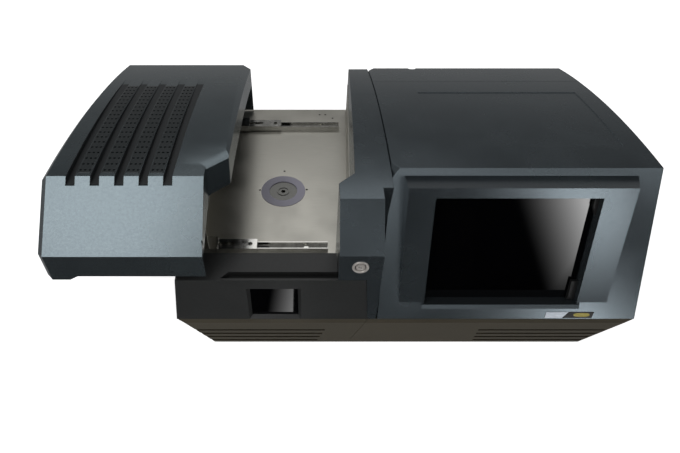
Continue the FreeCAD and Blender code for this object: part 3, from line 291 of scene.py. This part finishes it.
def floor():
    """Plain white floor: it glows a little, so that the object's shadow stays faint; no gloss mirrors it."""
    r = FLOOR_REACH
    obj = quad("floor", [(-r, -r, 0), (r, -r, 0), (r, r, 0), (-r, r, 0)])
    made, tree, shader, place = blank_material("pale_floor", Roughness=0.8, Emission_Color=(1, 1, 1, 1),
                                               Emission_Strength=FLOOR_GLOW)
    patches = add(tree, "ShaderNodeTexNoise", {"Vector": place, "Scale": 3.0})["Fac"]
    tone = add(tree, "ShaderNodeValToRGB", {"Fac": patches}, ((0.0, "#f4f4f4"), (1.0, "#fafafa")))["Color"]
    tree.links.new(tone, shader.inputs["Base Color"])
    obj.data.materials.append(made)
    obj.visible_glossy = obj.visible_shadow = False


def studio():
    """White floor, dim surroundings, a softbox high on the left and glowing cards round the object."""
    bpy.context.scene.view_settings.view_transform = "Standard"
    sky()
    floor()
    softbox("softbox_high_left", place=(-0.78, -0.86, 1.52), target=(-0.2, -0.12, 0.24), size=(0.8, 0.8), watts=6.4)
    # Mirrored by both displays: dark at the left, brightest towards the upper right
    glow_card("card_low_right",
              [(0.45, -1.244, -0.5), (1.4, -1.244, -0.5), (1.4, -1.244, 0.6), (0.45, -1.244, 0.6)], 8.5,
              [((1, 0, 0.37), 0.5815, 0.7935, 2.0), ((-1, 0, 0.6), -0.89, -0.82, 1.0),
               ((1, 0, 0.37), 0.95, 0.82, 1.0), ((0, 0, 1), 0.4, 0.12, 1.0)])
    # Mirrored by the stage and the roofs' far ends
    glow_card("card_behind", [(-0.7, 1.5, 1.2), (0.6, 1.5, 1.2), (0.6, 1.3, 2.2), (-0.7, 1.3, 2.2)], 1.4,
              [((0, 0, 1), 1.2, 1.5, 1.0)])
    # Mirrored by the small display
    glow_card("card_below_left",
              [(-0.15, -0.7, -0.4), (-0.085, -0.7, -0.4), (-0.085, -0.45, -0.4), (-0.15, -0.45, -0.4)], 3.0,
              [((1, 0.1, 0), -0.2, -0.13, 1.5)])


def arc_height(marks, y):
    """Height over y on the circle through three (y, z) marks: z = cz + sqrt(r^2 - (y - cy)^2)."""
    (ya, za), (yb, zb), (yc, zc) = marks
    twice = 2 * (ya * (zb - zc) + yb * (zc - za) + yc * (za - zb))
    sa, sb, sc = ya * ya + za * za, yb * yb + zb * zb, yc * yc + zc * zc
    cy = (sa * (zb - zc) + sb * (zc - za) + sc * (za - zb)) / twice
    cz = (sa * (yc - yb) + sb * (ya - yc) + sc * (yb - ya)) / twice
    r = math.hypot(ya - cy, za - cz)
    return cz + np.sqrt(r * r - (y - cy) ** 2)


def hood_roof(y):
    """Height of the hood's roof over y: the roof arc lifted by the hood's step."""
    return arc_height(ROOF_MARKS, y) + HOOD_LIFT


def net(rows, columns):
    """Four-cornered faces between neighbouring rows of a grid whose last column joins the first."""
    i, j = np.meshgrid(np.arange(rows - 1), np.arange(columns), indexing="ij")
    k = (j + 1) % columns
    cells = np.stack([i * columns + j, i * columns + k, (i + 1) * columns + k, (i + 1) * columns + j], axis=-1)
    return cells.reshape(-1, 4).tolist()


def skin(rings):
    """Closed skin over a stack of rings, shape (rings, points, 3): sides between them, a face on each end."""
    rings = np.asarray(rings, float)
    rows, columns = rings.shape[:2]
    ends = [list(range(columns)), list(range((rows - 1) * columns, rows * columns))]
    return rings.reshape(-1, 3), net(rows, columns) + ends


def turned(profile, centre, axis, sides, flat=1.0):
    """Turned form on a level axis: each (radius, height) of the profile goes round it as
    centre + height * axis + radius * (cos a * across + flat * sin a * up)."""
    axis = Vector(axis).normalized()
    across = axis.cross(Vector((0, 0, 1))).normalized()
    up = axis.cross(across)
    a = np.linspace(0, 2 * np.pi, sides, endpoint=False)
    radius, height = np.asarray(profile, float).T
    circle = np.cos(a)[:, None] * np.array(across) + flat * np.sin(a)[:, None] * np.array(up)
    return skin(np.array(centre) + height[:, None, None] * np.array(axis) + radius[:, None, None] * circle)


def plate(outline, rise):
    """Flat plate: the outline's corners, and the same corners moved by rise."""
    low = np.asarray(outline, float)
    return skin([low, low + np.array(rise)])


def piece(name, parts, body, slot, round_mm=0.0, material=None):
    """Joins parts, each points in millimetres with faces, into one object that rides on a body."""
    points, faces, start = [], [], 0
    for spots, cells in parts:
        points.append(spots)
        faces += [[corner + start for corner in cell] for cell in cells]
        start += len(spots)
    data = bpy.data.meshes.new(name)
    data.from_pydata(((np.concatenate(points) - ORIGIN) * MM).tolist(), [], faces)
    work = bmesh.new()
    work.from_mesh(data)
    bmesh.ops.remove_doubles(work, verts=work.verts, dist=0.001 * MM)
    bmesh.ops.recalc_face_normals(work, faces=work.faces)
    work.to_mesh(data)
    work.free()
    data.shade_smooth()
    data.set_sharp_from_angle(angle=math.radians(35))
    data.materials.append(material or MATERIALS[slot])
    obj = bpy.data.objects.new(name, data)
    bpy.context.scene.collection.objects.link(obj)
    if round_mm:
        round_edges(obj, round_mm, 35)
    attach(obj, body)
    return obj


def vent_strips():
    """Perforated strips between the grooves. A tile runs from its border in to the hole's edge and down into a
    cup: border point b goes to r * b / |b|, then down, then in to 0.8 of that; the tiles lie on the roof arc."""
    half_y = (VENT_END - VENT_START) / (2 * VENT_ROWS)
    t = np.array([-1.0, -0.35, 0.35])
    one = np.ones(3)
    border = np.concatenate([np.stack([t, -one], 1), np.stack([one, t], 1),
                             np.stack([-t, one], 1), np.stack([-one, -t], 1)])
    circle = VENT_RADIUS * border / np.linalg.norm(border, axis=1)[:, None]
    rings = np.stack([border * (VENT_TILE_HALF, half_y), circle, circle, circle * 0.8])
    drop = np.array([0, 0.05, VENT_DEEP, VENT_DEEP])[:, None]
    columns, rows = np.meshgrid(np.arange(VENT_ACROSS), np.arange(VENT_ROWS), indexing="ij")
    cells = net(4, 12) + [list(range(36, 48))]
    parts = []
    for strip in range(GROOVE_COUNT - 1):
        middle = GROOVE_FIRST + GROOVE_PITCH * (strip + 0.5)
        x = middle + VENT_TILE_HALF * (2 * columns.reshape(-1, 1, 1) - 2) + rings[None, :, :, 0]
        y = VENT_START + half_y * (2 * rows.reshape(-1, 1, 1) + 1) + rings[None, :, :, 1]
        tiles = np.stack([x, y, hood_roof(y) + 0.05 - drop[None]], axis=-1)
        parts += [(tile.reshape(-1, 3), cells) for tile in tiles]
    strips = piece("vent_strips", parts, "hood", "hood_paint", material=VENT_PAINT)
    wall = strips.modifiers.new("wall", "SOLIDIFY")
    wall.thickness = VENT_WALL * MM
    wall.offset = -1.0
    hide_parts("hood_grilles")


def groove_shade_linings():
    """Near-black channels that line the grooves as painted shade of their insides: a U section carried along y. Its
    foot follows the arc of the groove's floor; its lips lie just below the front slope, and behind the slope's top
    just below the roof."""
    middle = (SLOPE_TOP_Y + GROOVE_END) / 2
    marks = ((GROOVE_START, hood_roof(GROOVE_START) - GROOVE_DEEP),
             (middle, hood_roof(middle) - GROOVE_DEEP / 2), (GROOVE_END, hood_roof(GROOVE_END)))
    y = np.linspace(50.0, 318.0, 269)
    foot = arc_height(marks, y) + CHANNEL_CLEAR
    slope = SLOPE_FOOT_Z + y * (hood_roof(SLOPE_TOP_Y) - SLOPE_FOOT_Z) / SLOPE_TOP_Y
    lip = np.where(y < SLOPE_TOP_Y, slope, hood_roof(y)) - LIP_DROP
    inside = lip > foot + 0.4
    y, foot, lip = y[inside], foot[inside], lip[inside]
    h, wall = GROOVE_HALF, CHANNEL_WALL
    x = np.array([-h, h, h, h - wall, h - wall, -h + wall, -h + wall, -h])
    z = np.stack([foot, foot, lip, lip, foot + wall, foot + wall, lip, lip], axis=1)
    parts = [skin(np.stack([np.broadcast_to(GROOVE_FIRST + GROOVE_PITCH * i + x, z.shape),
                            np.broadcast_to(y[:, None], z.shape), z], axis=-1)) for i in range(GROOVE_COUNT)]
    # The lining's near-black colour is painted shade inside the grooves
    piece("groove_shade_linings", parts, "hood", "black_plastic", material=GROOVE_PAINTED_SHADE)


def button_parts():
    """Turned collar with a rolled lip, and the domed cap with a finger dish and a fine ring."""
    collar = [(7.8, 12.0), (7.8, 0.4), (9.2, 0.0), (9.2, -0.6), (8.9, -1.15), (8.3, -1.45), (7.7, -1.5),
              (7.1, -1.35), (6.6, -0.9), (6.3, -0.2), (6.3, 12.0)]
    ring = piece("button_collar", [turned(collar, BUTTON, (0, 1, 0), 48)], "base", "nickel")
    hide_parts("button_bezel")
    cap = [(4.9, 5.0), (5.0, -0.2), (4.8, -0.6), (4.3, -0.75), (3.7, -0.7), (3.5, -0.45), (3.2, -0.5),
           (2.4, -0.3), (1.2, -0.2), (0.2, -0.18)]
    top = piece("button_cap", [turned(cap, BUTTON, (0, 1, 0), 40)], "button", "nickel")
    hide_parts("start_button")


def lever_bullets():
    """Black release levers: bullets in the slides' channels, radius = r * sqrt(1 - (x / length)^2.5)."""
    s = np.linspace(0, 0.995, 14)
    profile = np.stack([LEVER_RADIUS * np.sqrt(1 - s ** 2.5), LEVER_LENGTH * s], axis=1)
    parts = [turned(profile, (x, y, STAGE_TOP + 3.1), (1, 0, 0), 16, 0.75) for x, y in LEVER_TIPS]
    levers = piece("release_lever_bullets", parts, "base", "black_plastic")
    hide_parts("release_levers")


def front_plane(spots, lift=0.0):
    """Points on the housing's front from (x, z) pairs: y = run * (z - foot), moved out along its normal."""
    x, z = np.asarray(spots, float).T
    return np.stack([x, FRONT_RUN * (z - FRONT_FOOT_Z), z], axis=-1) + lift * FRONT_OUT


def badge_plates():
    """Bare plates low on the housing's front: bright, dark, and an amber bar whose outline is the rounded box
    (x, z) = centre + (a * sign(cos t) * |cos t|^0.6, b * sign(sin t) * |sin t|^0.8). They carry no lettering."""
    out = BADGE_THICK * FRONT_OUT
    silver = front_plane([(437.8, 95.6), (458.6, 95.6), (466.0, 102.4), (439.2, 102.4)])
    dark = front_plane([(459.4, 95.6), (494.0, 95.6), (496.2, 102.4), (466.8, 102.4)])
    t = np.linspace(0, 2 * np.pi, 28, endpoint=False)
    across = 481.5 + 9.6 * np.sign(np.cos(t)) * np.abs(np.cos(t)) ** 0.6
    high = 99.3 + 2.1 * np.sign(np.sin(t)) * np.abs(np.sin(t)) ** 0.8
    bar = front_plane(np.stack([across, high], axis=1), BADGE_THICK)
    piece("badge_bright", [plate(silver, out)], "base", "aluminium", 0.15, BADGE_SILVER)
    piece("badge_dark", [plate(dark, out)], "base", "black_plastic", 0.15)
    piece("badge_amber", [plate(bar, out * 0.5)], "base", "black_plastic", 0.1, BADGE_AMBER)


def screen_stops():
    """Dark corner stops in the screen recess: an outline (x, up) lies on the glass as foot + x * right + up * rise
    and is drawn out towards the viewer."""
    c, s = math.cos(SCREEN_TILT), math.sin(SCREEN_TILT)
    foot = np.array([0, 6 + GLASS_DEPTH * c, 98 - GLASS_DEPTH * s])
    upper = [(474.2, 148.5), (468.9, 148.5), (468.9, 137.5), (472.5, 128.5), (474.2, 127.0)]
    lower = [(474.2, 40.0), (466.4, 40.0), (466.0, 13.4), (474.2, 13.4)]
    glass = np.array([[1, 0, 0], [0, s, c]])
    parts = [plate(foot + np.array(outline) @ glass, np.array([0, -c, s]) * STOP_THICK)
             for outline in (upper, lower)]
    piece("screen_stops", parts, "base", "black_plastic", 0.3)


def pan_heads():
    """Pan-head screws on the back panel: domed heads with a driver dimple."""
    profile = [(3.0, 0.0), (3.0, 0.5), (2.6, 1.1), (1.7, 1.5), (1.0, 1.6), (0.8, 1.1), (0.2, 1.0)]
    spots = [(x, z) for x in (252.0, 392.0, 530.0) for z in (101.5, 160.0)]
    parts = [turned(profile, (x, BACK_PANEL_Y, z), (0, 1, 0), 20) for x, z in spots]
    piece("back_panel_screws", parts, "base", "black_screw")


camera()
studio()
dress_frame()
for shell in ("hood_shell", "housing_shell", "housing_rear_cap", "column_cover", "column_rear_cap"):
    soften(shell, 0.9)

# Finishes of the scene's own pieces: satin paint on the perforated strips, near-black painted shade lining the
# grooves, printed films
VENT_PAINT = metallic_lacquer("satin_lacquer_vents", "#2b3032", "#34393b", 0.4, 0.5)
# Painted shade: the groove linings take a near-black copy of the hood's blue-grey
GROOVE_PAINTED_SHADE = moulded_plastic("groove_lining_painted_shade", "#1a1e20", "#22272a", 0.5)
BADGE_SILVER = metallic_lacquer("silver_film_badge", "#a9b0b8", "#b9c0c8", 0.35, 0.3)
BADGE_AMBER = moulded_plastic("amber_film_bar", "#8a7d1c", "#9c8f24", 0.35)

vent_strips()
groove_shade_linings()
button_parts()
lever_bullets()
badge_plates()
screen_stops()
pan_heads()
